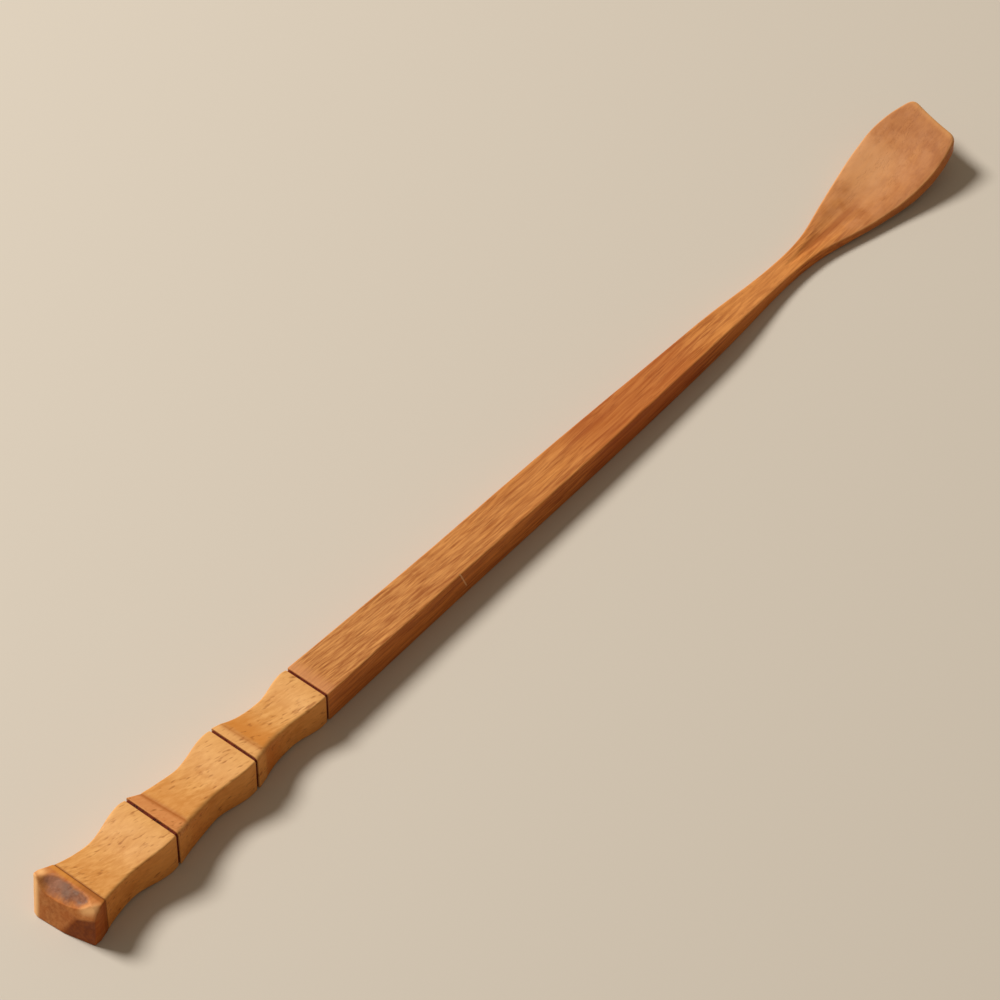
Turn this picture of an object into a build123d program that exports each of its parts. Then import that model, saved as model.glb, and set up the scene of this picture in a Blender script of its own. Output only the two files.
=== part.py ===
from build123d import *
import os

# Wooden tea scoop, lying on its flat underside. X runs from the butt end to the tip of
# the blade, Y to the far side, Z up. Stations are distances from the butt. Lengths in mm.

# Lengths along the scoop, from the butt to the tip
cap_length = 4.2
lower_segment_length = 12.7
middle_segment_length = 14.7
upper_segment_length = 13.4
spacer_thickness = 0.4
stem_length = 100.2
blade_length = 34.5

# Outer sizes where the pieces of the handle meet
cap_joint_width = 8.6
cap_joint_height = 6.05
lower_joint_width = 8.85
lower_joint_height = 6.2
middle_joint_width = 7.9
middle_joint_height = 5.8
upper_joint_width = 7.0
upper_joint_height = 5.2

# How deep each segment is hollowed at its waist: on its sides, on top and underneath
lower_side_waist = 0.72
lower_top_waist = 0.64
lower_under_waist = 0.42
middle_side_waist = 0.7
middle_top_waist = 0.45
middle_under_waist = 0.32
upper_side_waist = 0.72
upper_top_waist = 0.62
upper_under_waist = 0.26

# Bevelled band between a spacer and the crease where the hollow begins
middle_band_length = 1.8
middle_band_inset = 0.42
middle_band_drop = 0.56
upper_band_length = 1.3
upper_band_inset = 0.32
upper_band_drop = 0.1

# Softened long edges of the square pieces
arris_radius = 0.3

# Spacers stand back from the faces that clamp them, so a groove shows
spacer_recess = 0.22

# Butt cap: it swells beyond its joint on both sides and on top
cap_flare_station = 2.4
cap_flare_far = 0.8
cap_flare_near = 0.45
cap_flare_top = 0.38
cap_far_side_lean = 0.55

# Flats pared on the cap's end: how far each corner of its foot lies to a side and is set
# back, and how far the flats lean in on their way up
cap_far_facet_reach = 3.8
cap_far_corner_setback = 0.3
cap_far_facet_narrowing = 0.4
cap_ridge_reach = 0.4
cap_ridge_setback = 0.3
cap_near_corner_setback = 1.35
cap_end_lean = 1.15
cap_near_facet_lean = 0.55
cap_foot_bevel = 0.2

# Round-bottomed hollow where the cap's end meets its top
cap_hollow_radius = 9.0
cap_hollow_offset = 0.5
cap_hollow_top_station = 3.4
cap_hollow_end_height = 4.4

# Hidden dowel that threads the handle together
dowel_diameter = 2.2
dowel_height = 2.65
dowel_clearance = 0.05
dowel_end_gap = 0.3
cap_bore_depth = 1.9
stem_bore_depth = 12.0

# Stem from above: it bows a little to the near side on its way to the neck
stem_bow = 0.35
neck_width = 3.3

# Stem from the side: a long straight taper, then a fall to the neck
stem_fall_length = 17.2
stem_fall_height = 3.35
neck_height = 1.83

# Blade from above: stations from the neck
blade_shoulder_station = 10.8
blade_shoulder_width = 6.9
blade_bend_width = 10.2
blade_widest_station = 25.6
blade_width = 11.94
tip_far_reach = 4.0
tip_near_reach = 5.05
tip_slant = 2.35
tip_hollow = 0.2
tip_far_radius = 1.8
tip_near_radius = 1.3

# Blade from the side: lift of its underside at stations from the neck
blade_flat_station = 4.0
shoulder_lift = 0.4
bend_station = 18.3
bend_lift = 0.9
bend_end_station = 24.6
bend_end_lift = 1.85
tip_lift = 4.6
blade_thickness = 1.25
tip_thickness = 1.6

# Shallow channel that opens into the dish of the scoop
dish_depth = 0.4
dish_headroom = 1.5

# Shares of a hollow's length, each with the share of its full depth there
waist_shares = ((0, 0), (0.18, 0.62), (0.46, 1), (0.70, 0.7), (0.88, 0.19), (1, 0))

# Shares of the stem's length, each with the share of its first width and of its bow there
stem_shares = ((0.25, 0.87, 0.43), (0.52, 0.82, 0.74), (0.76, 0.67, 1))

# Shares of the blade's length, each with the dish's shares of the blade's width and of
# the full depth there
dish_shares = ((0.02, 0.08, 0.2), (0.3, 0.4, 0.9), (0.53, 0.7, 1), (0.72, 0.8, 0.8), (0.9, 0.5, 0.1))

# Edges that run across the scoop by less than this share of their way are long ones
long_edge_share = 0.02


# Stations of the joints
lower_start = cap_length
lower_end = lower_start + lower_segment_length
middle_start = lower_end + spacer_thickness
middle_end = middle_start + middle_segment_length
upper_start = middle_end + spacer_thickness
upper_end = upper_start + upper_segment_length
stem_start = upper_end + spacer_thickness
neck_station = stem_start + stem_length
tip_station = neck_station + blade_length


def between(start, end, share):
    return start + (end - start) * share


def cross_plane(station, height=0):
    """Plane across the scoop: its x is the scoop's width, its y is up."""
    return Plane(origin=(station, 0, height), x_dir=(0, 1, 0), z_dir=(1, 0, 0))


def cross_section(station, width, bottom, top, shift=0):
    """Square section with softened corners, moved to the far side by the shift."""
    shape = Pos(shift, 0) * RectangleRounded(width, top - bottom, arris_radius)
    return (cross_plane(station, (bottom + top) / 2) * shape).face()


def dowel_bore(start, end):
    """Round bore along the handle, a clearance wider than the dowel."""
    radius = dowel_diameter / 2 + dowel_clearance
    bore = Cylinder(radius, end - start, align=(Align.CENTER, Align.CENTER, Align.MIN))
    return cross_plane(start, dowel_height) * bore


def hollowed_block(start, end, start_size, end_size, waists):
    """Block hollowed on all four sides between two square ends."""
    side_waist, top_waist, under_waist = waists
    sections = []
    for place, depth in waist_shares:
        width = between(start_size[0], end_size[0], place) - 2 * side_waist * depth
        top = between(start_size[1], end_size[1], place) - top_waist * depth
        sections.append(cross_section(between(start, end, place), width, under_waist * depth, top))
    return loft(sections)


def banded_block(start, end, start_size, end_size, waists, band):
    """Bevelled band that leads into a hollowed block."""
    band_length, band_inset, band_drop = band
    crease = start + band_length
    crease_size = (start_size[0] - 2 * band_inset, start_size[1] - band_drop)
    square_end = cross_section(start, start_size[0], 0, start_size[1])
    crease_end = cross_section(crease, crease_size[0], 0, crease_size[1])
    bevel = loft([square_end, crease_end], ruled=True)
    return bevel + hollowed_block(crease, end, crease_size, end_size, waists)


def make_lower_segment():
    block = hollowed_block(
        lower_start,
        lower_end,
        (cap_joint_width, cap_joint_height),
        (lower_joint_width, lower_joint_height),
        (lower_side_waist, lower_top_waist, lower_under_waist),
    )
    return block - dowel_bore(lower_start, lower_end)


def make_middle_segment():
    block = banded_block(
        middle_start,
        middle_end,
        (lower_joint_width, lower_joint_height),
        (middle_joint_width, middle_joint_height),
        (middle_side_waist, middle_top_waist, middle_under_waist),
        (middle_band_length, middle_band_inset, middle_band_drop),
    )
    return block - dowel_bore(middle_start, middle_end)


def make_upper_segment():
    block = banded_block(
        upper_start,
        upper_end,
        (middle_joint_width, middle_joint_height),
        (upper_joint_width, upper_joint_height),
        (upper_side_waist, upper_top_waist, upper_under_waist),
        (upper_band_length, upper_band_inset, upper_band_drop),
    )
    return block - dowel_bore(upper_start, upper_end)


def make_spacer(start, width, height):
    """Thin dark slip, smaller all round than the faces that clamp it."""
    slip = RectangleRounded(width - 2 * spacer_recess, height - 2 * spacer_recess, arris_radius)
    solid = extrude(cross_plane(start, height / 2) * slip, spacer_thickness)
    return solid - dowel_bore(start, start + spacer_thickness)


def make_core_dowel():
    start = lower_start - cap_bore_depth + dowel_end_gap
    end = stem_start + stem_bore_depth - dowel_end_gap
    rod = Cylinder(dowel_diameter / 2, end - start, align=(Align.CENTER, Align.CENTER, Align.MIN))
    return cross_plane(start, dowel_height) * rod


def pared(solid, first, second, third):
    """Cuts away what lies outside a flat through three points, anticlockwise from outside."""
    start = Vector(first)
    facing = (Vector(second) - start).cross(Vector(third) - start)
    return split(solid, bisect_by=Plane(origin=start, z_dir=facing), keep=Keep.BOTTOM)


def cap_hollow(end_station, top_height):
    """Cylinder that rises from the cap's end to its top."""
    run = cap_hollow_top_station - end_station
    rise = top_height - cap_hollow_end_height
    foot = Plane(
        origin=(end_station, cap_hollow_offset, cap_hollow_end_height),
        x_dir=(0, 1, 0),
        z_dir=(run, 0, rise),
    )
    return foot * Pos(0, cap_hollow_radius) * Cylinder(cap_hollow_radius, 3 * cap_length)


def flare_share(station):
    """Share of the way from the cap's widest place to its joint."""
    return (station - cap_flare_station) / (cap_length - cap_flare_station)


def make_butt_cap():
    height = cap_joint_height + cap_flare_top
    far = cap_joint_width / 2 + cap_flare_far
    near = cap_joint_width / 2 + cap_flare_near
    far_foot = far - cap_far_side_lean
    butt_end = cross_section(0, far + near, 0, height, (far - near) / 2)
    flare = cross_section(cap_flare_station, far + near, 0, height, (far - near) / 2)
    joint = cross_section(cap_length, cap_joint_width, 0, cap_joint_height)
    block = loft([butt_end, flare], ruled=True) + loft([flare, joint], ruled=True)

    # Corners of the foot, and where the flats arrive at the height of the top
    facet_foot = (0, cap_far_facet_reach, 0)
    far_corner = (cap_far_corner_setback, far_foot, 0)
    ridge_foot = (cap_ridge_setback, -cap_ridge_reach, 0)
    near_corner = (cap_near_corner_setback, -near, 0)
    facet_top = (cap_end_lean, cap_far_facet_reach + cap_far_facet_narrowing, height)
    ridge_top = (cap_ridge_setback + cap_near_facet_lean, -cap_ridge_reach, height)
    block = pared(block, ridge_foot, facet_top, facet_foot)
    block = pared(block, near_corner, ridge_top, ridge_foot)
    block = pared(block, facet_foot, facet_top, far_corner)
    block = pared(block, (0, far_foot, 0), (0, far, height), (cap_length, far_foot, 0))
    block = pared(block, (0, 0, cap_foot_bevel), (0, far, cap_foot_bevel), (cap_foot_bevel, 0, 0))

    top_height = between(height, cap_joint_height, flare_share(cap_hollow_top_station))
    end_station = cap_end_lean * cap_hollow_end_height / height
    block -= cap_hollow(end_station, top_height)
    return block - dowel_bore(cap_length - cap_bore_depth, cap_length)


def stem_side(side):
    """Stem outline on one side, from the spacer to the neck; side is 1 far, -1 near."""
    half = upper_joint_width / 2
    points = [(stem_start, side * half)]
    for place, width_share, bow_share in stem_shares:
        offset = side * half * width_share - stem_bow * bow_share
        points.append((stem_start + stem_length * place, offset))
    points.append((neck_station, side * neck_width / 2))
    first_run = (points[1][0] - points[0][0], points[1][1] - points[0][1])
    return Spline(points, tangents=(first_run, (1, 0)))


def blade_side(side):
    """Blade outline on one side, from the neck to the corner of the tip."""
    neck = (neck_station, side * neck_width / 2)
    shoulder = (neck_station + blade_shoulder_station, side * blade_shoulder_width / 2)
    bend = (neck_station + bend_station, side * blade_bend_width / 2)
    widest = (neck_station + blade_widest_station, side * blade_width / 2)
    corner = (tip_station, tip_far_reach)
    if side < 0:
        corner = (tip_station - tip_slant, -tip_near_reach)
    flank = Spline([neck, shoulder, bend, widest], tangents=((1, 0), (1, 0)))
    return flank, TangentArc([widest, corner], tangent=(1, 0)), corner


def outline_from_above():
    far_flank, far_end, far_corner = blade_side(1)
    near_flank, near_end, near_corner = blade_side(-1)
    tip_middle_x = (far_corner[0] + near_corner[0]) / 2 - tip_hollow
    tip_middle = (tip_middle_x, (far_corner[1] + near_corner[1]) / 2)
    tip = ThreePointArc(far_corner, tip_middle, near_corner)
    root = Line((stem_start, upper_joint_width / 2), (stem_start, -upper_joint_width / 2))
    edges = [stem_side(1), far_flank, far_end, tip, near_end, near_flank, stem_side(-1), root]
    outline = make_face(edges)
    outline = fillet(outline.vertices().sort_by_distance(far_corner)[0], tip_far_radius)
    return fillet(outline.vertices().sort_by_distance(near_corner)[0], tip_near_radius)


def outline_from_side():
    """Stem and blade from the side: flat underside, tapering top, curled blade."""
    shoulder = neck_station + blade_shoulder_station
    bend = neck_station + bend_station
    bend_end = neck_station + bend_end_station
    flat_end = neck_station + blade_flat_station
    fall = neck_station - stem_fall_length
    under_points = [(flat_end, 0), (shoulder, shoulder_lift), (bend, bend_lift)]
    under_points += [(bend_end, bend_end_lift), (tip_station, tip_lift)]
    curl = (tip_station - bend_end, tip_lift - bend_end_lift)
    under = Spline(under_points, tangents=((1, 0), curl))
    top_points = [(neck_station, neck_height)]
    top_points += [(x, lift + blade_thickness) for x, lift in under_points[1:3]]
    top_points += [(x, lift + tip_thickness) for x, lift in under_points[3:]]
    blade_top = Spline(top_points, tangents=((1, 0), curl))
    root_top = (stem_start, upper_joint_height)
    fall_top = (fall, stem_fall_height)
    taper = (fall_top[0] - root_top[0], fall_top[1] - root_top[1])
    fall_curve = Spline([fall_top, (neck_station, neck_height)], tangents=(taper, (1, 0)))
    edges = [Line((stem_start, 0), (flat_end, 0)), under, Line(under @ 1, blade_top @ 1)]
    edges += [blade_top, fall_curve, Line(fall_top, root_top), Line(root_top, (stem_start, 0))]
    return make_face(edges), blade_top


def dish_cutter(blade_top):
    """Solid of shallow round-bottomed sections that follows the top of the blade."""
    sections = []
    for place, width_share, depth_share in dish_shares:
        station = neck_station + blade_length * place
        rim = (blade_top @ place).Y
        half = blade_width * width_share / 2
        bottom = (0, rim - dish_depth * depth_share)
        plane = cross_plane(station)
        arc = ThreePointArc((-half, rim), bottom, (half, rim))
        lid = Polyline((half, rim), (half, rim + dish_headroom), (-half, rim + dish_headroom), (-half, rim))
        sections.append(plane * make_face([arc, lid]))
    return loft([section.face() for section in sections])


def make_blade_and_stem():
    side_view, blade_top = outline_from_side()
    from_above = extrude(outline_from_above(), 2 * upper_joint_height)
    from_side = extrude(Plane.XZ * side_view, blade_width, both=True)
    body = from_above & from_side
    arrises = body.edges().filter_by(lambda edge: abs((edge % 0.5).X) > long_edge_share)
    body = fillet(arrises, arris_radius)
    return body - dish_cutter(blade_top) - dowel_bore(stem_start, stem_start + stem_bore_depth)


parts = {
    "butt_cap": make_butt_cap(),
    "lower_segment": make_lower_segment(),
    "lower_spacer": make_spacer(lower_end, lower_joint_width, lower_joint_height),
    "middle_segment": make_middle_segment(),
    "middle_spacer": make_spacer(middle_end, middle_joint_width, middle_joint_height),
    "upper_segment": make_upper_segment(),
    "upper_spacer": make_spacer(upper_end, upper_joint_width, upper_joint_height),
    "blade_and_stem": make_blade_and_stem(),
    "core_dowel": make_core_dowel(),
}

# The origin goes under the middle of the whole scoop, on the surface it lies on
boxes = [solid.bounding_box() for solid in parts.values()]
middle_x = (min(box.min.X for box in boxes) + max(box.max.X for box in boxes)) / 2
to_origin = Pos(-middle_x, 0, 0)

os.makedirs("parts", exist_ok=True)
for name, solid in parts.items():
    export_step(to_origin * solid, f"parts/{name}.step")
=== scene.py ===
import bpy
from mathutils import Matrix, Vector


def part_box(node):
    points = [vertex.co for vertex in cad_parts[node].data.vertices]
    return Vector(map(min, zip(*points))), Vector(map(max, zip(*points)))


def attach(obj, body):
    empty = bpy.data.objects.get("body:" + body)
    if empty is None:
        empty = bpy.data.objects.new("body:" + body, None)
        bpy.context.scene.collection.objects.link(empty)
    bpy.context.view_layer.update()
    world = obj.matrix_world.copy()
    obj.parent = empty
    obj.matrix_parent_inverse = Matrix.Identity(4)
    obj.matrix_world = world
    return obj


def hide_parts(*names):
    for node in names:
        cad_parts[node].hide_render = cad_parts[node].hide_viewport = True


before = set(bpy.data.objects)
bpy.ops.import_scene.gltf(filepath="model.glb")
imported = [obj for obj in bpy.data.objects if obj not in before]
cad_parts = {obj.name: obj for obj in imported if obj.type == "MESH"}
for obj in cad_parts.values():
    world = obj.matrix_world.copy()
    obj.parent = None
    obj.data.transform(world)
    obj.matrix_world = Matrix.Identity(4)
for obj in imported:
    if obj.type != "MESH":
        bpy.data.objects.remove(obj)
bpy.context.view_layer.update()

import math
from functools import partialmethod

import bpy
import numpy as np
from mathutils import Vector, noise


# Butt cap
# A short block of the handle's wood that swells past its joint. Its end is pared with a knife to a
# few flats: a leaning end face, a sloping upper one of rough end grain and a broad one at the near
# corner. It is glued to the first segment and bored for the dowel.

mm = 0.001
cap_end = 4.2
butt_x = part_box("butt_cap")[1].x / mm - cap_end
dowel_height = 2.65
bore_radius = 1.15
bore_sides = 48
cap_bore_depth = 1.9
cap_middle = (2.4, 0, 3.0)
cap_half_sizes = (2.2, 4.8, 3.1)
cap_squares = 90
cap_smoothing = 9
cap_crease_angle = 50
# Each flat of the cap: a point on it and the direction that it faces
cap_flats = {
    "joint": ((4.2, 0, 0), (1, 0, 0)),
    "foot": ((0, 0, 0), (0, 0, -1)),
    "end": ((0.17, 1.3, 0), (-1, -0.07, 0.18)),
    "near": ((0.27, -0.3, 0), (-1, -0.241, 0.084)),
    "upper near": ((1.13, -2.48, 3.86), (-0.96, -0.12, 0.385)),
    "top": ((4.2, 0, 6.07), (0.125, 0, 1)),
    "top near": ((2.9, -4.45, 6.0), (-0.25, -0.75, 1)),
    "far corner": ((0.27, 4.55, 0), (-0.93, 0.36, 0.14)),
    "far side": ((0.3, 4.56, 0), (0, 1, -0.1)),
    "far neck": ((4.2, 4.34, 0), (0.42, 1, 0)),
    "near side": ((1.35, -4.76, 0), (-0.03, -1, -0.01)),
    "near neck": ((4.2, -4.34, 0), (0.26, -1, 0)),
}
# Hollow of rough end grain between the end and the top: a trough that rises towards the joint
hollow_middle = 0.1
hollow_half_width = 3.9
hollow_side_rise = 1.17
hollow_squareness = 4
hollow_low = (0.78, 4.4)
hollow_high = (3.45, 6.24)
# Rough end grain: where it starts and stops, how far it keeps from the flats' edges, how steeply it
# fades by the top and off the hollow's floor, and how deep it lies
grain_start = 0.6
grain_sides = (4.1, -3.45)
grain_inset = 0.1
grain_corner_inset = 0.2
grain_top_slope = 1.6
grain_floor_slope = 3
grain_fade = 0.5
grain_depth = 0.06
grain_roughness = 0.05
# Lengths in mm over which the near flat's painted shade, the corner's and rim's painted highlight and the
# seam fade
shade_fade = 0.12
shade_upper_fade = 0.1
highlight_corner_fade = 0.2
highlight_rim_reach = 0.65
seam_length = 1.0
# Stretches of the hollow's rim that get a painted highlight
highlight_rims = (((1.4, -3.0, 5.3), (2.4, -4.2, 5.9)), ((0.9, 4.3, 4.6), (2.2, 4.6, 6.3)))
# The knife's marks: their depth, and how far from the joint and the foot they begin, and how fast
paring_depth = 0.02
paring_clear = (0.35, 0.25)
paring_fade = 3

# Colours of the cap, 0 to 255: its streaks, and what lies over them and how strongly
cap_streaks = ((184, 108, 52), (208, 138, 76))
# Painted shade: darker streaks on the near flat, which faces away from the lamp
painted_shade_streaks = ((122, 52, 4), (156, 76, 12))
painted_shade_share = 0.92
cap_tints = {
    "mottle": (0.35, (196, 104, 44)),
    "pores": (0.3, (140, 70, 24)),
    # Painted highlight on the far corner and along the hollow's rim
    "painted_highlight": (0.9, (252, 194, 130)),
}
end_grain_specks = ((126, 80, 58), (162, 110, 82))
end_grain_and_highlight_tints = {
    "pale clouds": (0.7, (144, 114, 98)),
    "dark clouds": (0.5, (104, 64, 42)),
    # Painted highlight: the far part of the end grain is lightened
    "far side": (0.75, (188, 128, 98)),
}
# The strip by the joint, from its far to its near end, painted shade on the near side, and the seam by it
strip_colours = ((214, 142, 56), (158, 92, 32))
strip_share = 0.7
seam_and_shade_tints = {"near side": (0.4, (140, 66, 20)), "seam": (0.65, (132, 70, 14))}
cap_grain = {"Slant": 0.05, "Streak Length": 4.0, "Streak Width": 0.55, "Pore Length": 1.2}
cap_grain["Pore Share"] = 0.06


def in_place(points):
    """Points in mm from the butt, as points of the frame in metres."""
    points = np.asarray(points, float).reshape(-1, 3) * mm
    points[:, 0] += butt_x * mm
    return points


def in_scene(name, data):
    """An object with some data, in the scene."""
    thing = bpy.data.objects.new(name, data)
    bpy.context.scene.collection.objects.link(thing)
    return thing


def new_piece(name, points, faces, **values):
    """A mesh from points and faces, with a value for each point under each given name."""
    mesh = bpy.data.meshes.new(name)
    mesh.from_pydata([tuple(p) for p in in_place(points)], [], faces)
    for label, numbers in values.items():
        layer = mesh.attributes.new(label, "FLOAT", "POINT")
        layer.data.foreach_set("value", np.asarray(numbers, np.float32))
    return in_scene(name, mesh)


def settled(piece):
    """Makes what the modifiers give the piece's own mesh, and removes them."""
    seen = piece.evaluated_get(bpy.context.evaluated_depsgraph_get())
    mesh = bpy.data.meshes.new_from_object(seen)
    piece.modifiers.clear()
    piece.data = mesh
    return piece


def softly_shaded(piece, crease_angle):
    piece.data.shade_smooth()
    piece.data.set_sharp_from_angle(angle=math.radians(crease_angle))


def bored(piece, start, end):
    """Takes the round hole for the dowel out of a piece."""
    turns = np.arange(bore_sides) / bore_sides * 2 * math.pi
    y, z = bore_radius * np.cos(turns), dowel_height + bore_radius * np.sin(turns)
    points = [(station, *spot) for station in (start, end) for spot in zip(y, z)]
    steps = range(bore_sides)
    faces = [(k, k + bore_sides, (k + 1) % bore_sides + bore_sides, (k + 1) % bore_sides) for k in steps]
    faces += [tuple(steps), tuple(reversed(range(bore_sides, 2 * bore_sides)))]
    drill = new_piece("drill", points, faces)
    cut = piece.modifiers.new("bore", "BOOLEAN")
    cut.operation = "DIFFERENCE"
    cut.solver = "EXACT"
    cut.object = drill
    weld = piece.modifiers.new("weld", "WELD")
    weld.merge_threshold = 0.001 * mm
    settled(piece)
    bpy.data.objects.remove(drill)
    return piece


def facing_of(flat):
    facing = np.array(cap_flats[flat][1], float)
    return facing / np.linalg.norm(facing)


def depth_under(flat, points):
    """How far points lie inside a flat, in mm."""
    return (np.array(cap_flats[flat][0]) - points) @ facing_of(flat)


def worn_smooth(points, faces, rounds):
    """Moves each point towards its neighbours, as handling wears edges round."""
    pairs = np.array([(f[k], f[(k + 1) % len(f)]) for f in faces for k in range(len(f))])
    count = np.bincount(pairs[:, 0], minlength=len(points))[:, None]
    for _ in range(rounds):
        near = [np.bincount(pairs[:, 0], points[pairs[:, 1], c], len(points)) for c in range(3)]
        points = points * 0.5 + np.stack(near, 1) / count * 0.5
    return points


def hollow_floor(points):
    """Height of the hollow's floor at the stations and sides of some points."""
    slope = (hollow_high[1] - hollow_low[1]) / (hollow_high[0] - hollow_low[0])
    across = np.abs(points[:, 1] - hollow_middle) / hollow_half_width
    rise = hollow_side_rise * across ** hollow_squareness
    return hollow_low[1] + slope * (points[:, 0] - hollow_low[0]) + rise


def nearness(points, stretch, reach):
    """1 on a straight stretch, fading to 0 away from it."""
    start, end = np.array(stretch)
    along = np.clip((points - start) @ (end - start) / np.sum((end - start) ** 2), 0, 1)
    off = np.linalg.norm(points - start - along[:, None] * (end - start), axis=1)
    return np.exp(-(off / reach) ** 2)


def smooth_noise(x, y, z):
    """Noise between about -1 and 1 that changes smoothly from place to place."""
    return np.array([noise.noise(Vector(spot)) for spot in np.broadcast(x, y, z)])


def cube_grid(count):
    """Ways out from the middle of a cube through a grid on its faces, and the grid's squares."""
    ways, faces, places = [], [], {}
    for axis in range(3):
        for side in (1, -1):
            corner = []
            for i in range(count + 1):
                for j in range(count + 1):
                    cube = [0, 0, 0]
                    cube[axis] = side * count
                    cube[(axis + 1) % 3] = (2 * i - count) * side
                    cube[(axis + 2) % 3] = 2 * j - count
                    if tuple(cube) not in places:
                        places[tuple(cube)] = len(ways)
                        ways.append(cube)
                    corner.append(places[tuple(cube)])
            for i in range(count):
                for j in range(count):
                    a = i * (count + 1) + j
                    faces.append((corner[a], corner[a + count + 1], corner[a + count + 2], corner[a + 1]))
    return np.tan(np.array(ways) / count * math.pi / 4), faces


def make_cap():
    ways, faces = cube_grid(cap_squares)
    ways = ways * cap_half_sizes
    reach = np.full(len(ways), np.inf)
    for flat in cap_flats:
        rise = ways @ facing_of(flat)
        depth = depth_under(flat, np.array(cap_middle))
        reach = np.minimum(reach, np.where(rise > 1e-6, depth / np.maximum(rise, 1e-6), np.inf))
    points = np.array(cap_middle) + ways * reach[:, None]
    points[:, 2] = np.minimum(points[:, 2], hollow_floor(points))
    points = worn_smooth(points, faces, cap_smoothing)
    x, y, z = points.T

    # The rough end grain stays a little inside the hollow's rim, with a ragged edge
    margins = (
        x - grain_start,
        grain_sides[0] - y,
        y - grain_sides[1],
        depth_under("end", points) - grain_inset,
        depth_under("upper near", points) - grain_inset,
        depth_under("top", points) * grain_top_slope,
        depth_under("far corner", points) - grain_corner_inset,
        1 - grain_floor_slope * np.abs(z - hollow_floor(points)),
    )
    ragged = smooth_noise(x * 0.9, y * 0.9, z * 0.9) * 0.25 + smooth_noise(x * 3.5, y * 3.5, z * 3.5) * 0.1
    end_grain = np.clip((np.min(margins, axis=0) + ragged) / grain_fade, 0, 1)
    # Painted shade on the near flat, below the upper near flat
    shade = np.clip(1 - depth_under("near", points) / shade_fade, 0, 1)
    shade *= np.clip(depth_under("upper near", points) / shade_upper_fade, 0, 1)
    # Painted highlight on the far corner and along stretches of the hollow's rim
    painted_highlight = np.clip(1.2 - depth_under("far corner", points) / highlight_corner_fade, 0, 1)
    for stretch in highlight_rims:
        painted_highlight = np.maximum(painted_highlight, nearness(points, stretch, highlight_rim_reach))
    seam = np.clip((x - cap_end + seam_length) / seam_length, 0, 1)

    # The knife leaves the faces a little uneven, and the end grain lies deeper and rougher
    rough = smooth_noise(x * 1.8, y * 1.4, 1) + 0.5 * smooth_noise(x * 5, y * 5, z * 5)
    pared = smooth_noise(x * 0.7 + z * 0.5, y * 0.8, 7)
    free = np.clip((cap_end - paring_clear[0] - x) * paring_fade, 0, 1)
    free *= np.clip((z - paring_clear[1]) * paring_fade, 0, 1)
    inward = np.array(cap_middle) - points
    inward /= np.linalg.norm(inward, axis=1)[:, None]
    points = points + inward * (paring_depth * (1 + pared) * free)[:, None]
    points[:, 2] -= (grain_depth + grain_roughness * rough) * end_grain
    values = {"end_grain": end_grain, "shade": shade, "painted_highlight": painted_highlight, "seam": seam}
    return new_piece("butt_cap_wood", points, faces, **values)


class Amount:
    """A number, colour or place in a node tree. Arithmetic on it adds Math nodes."""

    def __init__(self, tree, socket):
        self.tree = tree
        self.socket = socket

    def by(self, operation, *others):
        """What a Math node makes of this amount and the others."""
        return made(self.tree, "ShaderNodeMath", dict(enumerate((self, *others))), operation=operation)

    def after(self, operation, first):
        return made(self.tree, "ShaderNodeMath", {0: first, 1: self}, operation=operation)

    __add__ = partialmethod(by, "ADD")
    __sub__ = partialmethod(by, "SUBTRACT")
    __mul__ = partialmethod(by, "MULTIPLY")
    __truediv__ = partialmethod(by, "DIVIDE")
    __pow__ = partialmethod(by, "POWER")
    __abs__ = partialmethod(by, "ABSOLUTE")
    __gt__ = partialmethod(by, "GREATER_THAN")
    __lt__ = partialmethod(by, "LESS_THAN")
    __radd__ = partialmethod(after, "ADD")
    __rsub__ = partialmethod(after, "SUBTRACT")
    __rmul__ = partialmethod(after, "MULTIPLY")


def fed(socket, value):
    """Gives an input its value, or links it to the node that makes one."""
    if isinstance(value, Amount):
        value.tree.links.new(value.socket, socket)
    else:
        socket.default_value = value


def added(tree, kind, sockets=None, **settings):
    """A node, with its settings and with numbers or other nodes' outputs in its inputs."""
    node = tree.nodes.new(kind)
    for label, value in settings.items():
        setattr(node, label, value)
    for key, value in (sockets or {}).items():
        fed(node.inputs[key], value)
    return node


def made(tree, kind, sockets=None, output=0, **settings):
    """What a new node puts out."""
    return Amount(tree, added(tree, kind, sockets, **settings).outputs[output])


def parts_of(place):
    """The x, y and z of a place or a direction."""
    node = added(place.tree, "ShaderNodeSeparateXYZ", {0: place})
    return [Amount(place.tree, socket) for socket in node.outputs]


def ranged(value, low, high, new_low=0.0, new_high=1.0):
    """Eases from one number to another while a value goes from low to high."""
    sockets = {"Value": value, "From Min": low, "From Max": high, "To Min": new_low, "To Max": new_high}
    return made(value.tree, "ShaderNodeMapRange", sockets, interpolation_type="SMOOTHSTEP")


def colour(red, green, blue):
    """A colour as it is read off a swatch, 0 to 255, for the renderer."""
    shares = [c / 255 for c in (red, green, blue)]
    return tuple(s / 12.92 if s <= 0.04045 else ((s + 0.055) / 1.055) ** 2.4 for s in shares) + (1.0,)


def blended(share, first, second, how="MIX"):
    """Turns from the first colour to the second as the share grows."""
    first, second = (colour(*tint) if isinstance(tint, tuple) else tint for tint in (first, second))
    sockets = {0: share, 6: first, 7: second}
    return made(share.tree, "ShaderNodeMix", sockets, 2, data_type="RGBA", blend_type=how)


def layered(wood, tints, masks):
    """Lays each tint on the wood where its mask is, in the masks' order."""
    for name, mask in masks.items():
        share, tint = tints[name]
        wood = blended(mask * share, wood, tint)
    return wood


def cloud_on(place, scale, detail, roughness=0.5, output=0):
    """Smooth noise from 0 to 1, with so many waves to each unit of the place."""
    sockets = {"Vector": place, "Scale": scale, "Detail": detail, "Roughness": roughness}
    return made(place.tree, "ShaderNodeTexNoise", sockets, output)


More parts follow.
